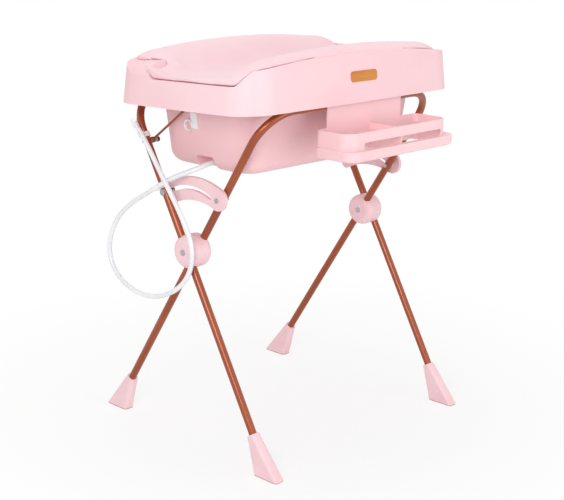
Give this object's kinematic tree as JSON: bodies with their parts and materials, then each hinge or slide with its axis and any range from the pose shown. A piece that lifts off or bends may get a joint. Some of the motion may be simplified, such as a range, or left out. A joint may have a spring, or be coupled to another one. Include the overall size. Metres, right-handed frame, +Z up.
{
  "type": "changing table with bath",
  "caption": "Folding crossed-leg stand carrying a moulded baby bath with a lift-off padded changing mat, hooked accessory tray and drain hose.",
  "frame": {"origin": "centre of the object's plan, on the floor, without the hose", "axes": "+X along the long side towards the end without the hose, -Y towards the user and the tray, +Z up"},
  "size_m": [0.77, 0.7022, 0.9797],
  "materials": {
    "tube_copper": "gloss",
    "hub_plastic": "satin",
    "sole_rubber": "matte",
    "steel": "satin",
    "shell_plastic": "satin",
    "basin_plastic": "satin",
    "tray_plastic": "satin",
    "mat_cover": "satin",
    "mat_board": "matte",
    "badge_gold": "satin",
    "white_plastic": "satin",
    "hose_vinyl": "satin",
    "stay_steel": "gloss",
    "grey_plastic": "satin",
    "dark_plastic": "satin"
  },
  "bodies": {
    "rear_frame": {"rear_frame_tube": "tube_copper", "hose_leg_clip": "white_plastic", "hose_end_clip": "white_plastic", "hub_outer_left": "hub_plastic", "hub_outer_right": "hub_plastic", "pivot_rivet_left": "steel", "pivot_rivet_right": "steel", "guide_pin_left": "steel", "guide_pin_right": "steel", "boot_front_left": "hub_plastic", "boot_front_right": "hub_plastic", "sole_front_left": "sole_rubber", "sole_front_right": "sole_rubber", "stay_bolt_left": "steel", "stay_bolt_right": "steel", "stay_collar_left": "grey_plastic", "stay_collar_right": "grey_plastic", "stay_cap_nut_left": "dark_plastic", "stay_cap_nut_right": "dark_plastic"},
    "front_frame": {"front_frame_tube": "tube_copper", "hub_inner_left": "hub_plastic", "hub_inner_right": "hub_plastic", "lock_arc_left": "hub_plastic", "lock_arc_right": "hub_plastic", "lock_arc_screw_left": "steel", "lock_arc_screw_right": "steel", "boot_rear_left": "hub_plastic", "boot_rear_right": "hub_plastic", "sole_rear_left": "sole_rubber", "sole_rear_right": "sole_rubber"},
    "tub": {"bath_apron": "shell_plastic", "bath_basin": "basin_plastic", "drain_fitting": "white_plastic", "drain_nut": "white_plastic", "badge_plate": "badge_gold", "hose_stow_hook": "white_plastic", "drain_hose": "hose_vinyl", "hose_end_ring": "white_plastic", "saddle_front_left": "shell_plastic", "saddle_front_right": "shell_plastic", "saddle_rear_left": "shell_plastic", "saddle_rear_right": "shell_plastic", "stay_lug_left": "basin_plastic", "stay_lug_right": "basin_plastic"},
    "mat": {"mat_board": "mat_board", "mat_cushion": "mat_cover"},
    "tray": {"accessory_tray": "tray_plastic"},
    "plug": {"drain_plug": "white_plastic"},
    "stay_left": {"stay_rod_left": "stay_steel"},
    "stay_right": {"stay_rod_right": "stay_steel"}
  },
  "joints": [
    {"name": "frame_fold", "type": "hinge", "parent": "rear_frame", "child": "front_frame", "pos_m": [0, 0.00292, 0.4935], "axis": [-1, 0, 0], "range_deg": [0, 50.01]},
    {"name": "tub_lift", "type": "slide", "parent": "rear_frame", "child": "tub", "axis": [0, 0.2402, 0.9707], "range_m": [0, 0.65]},
    {"name": "mat_lift", "type": "slide", "parent": "tub", "child": "mat", "axis": [0, 0, 1], "range_m": [0, 0.25]},
    {"name": "tray_lift", "type": "slide", "parent": "front_frame", "child": "tray", "axis": [0, 0, 1], "range_m": [0, 0.028]},
    {"name": "plug_pull", "type": "slide", "parent": "tub", "child": "plug", "axis": [1, 0, 0], "range_m": [0, 0.03]},
    {"name": "stay_swing_left", "type": "hinge", "parent": "rear_frame", "child": "stay_left", "pos_m": [-0.31925, 0.14465, 0.743], "axis": [1, 0, 0], "range_deg": [0, 40]},
    {"name": "stay_swing_right", "type": "hinge", "parent": "rear_frame", "child": "stay_right", "pos_m": [0.31925, 0.14465, 0.743], "axis": [1, 0, 0], "range_deg": [0, 40]}
  ],
  "couplings": [
    {"joint": "frame_fold", "follows": "tub_lift", "rad_per_m": 1.3426}
  ]
}
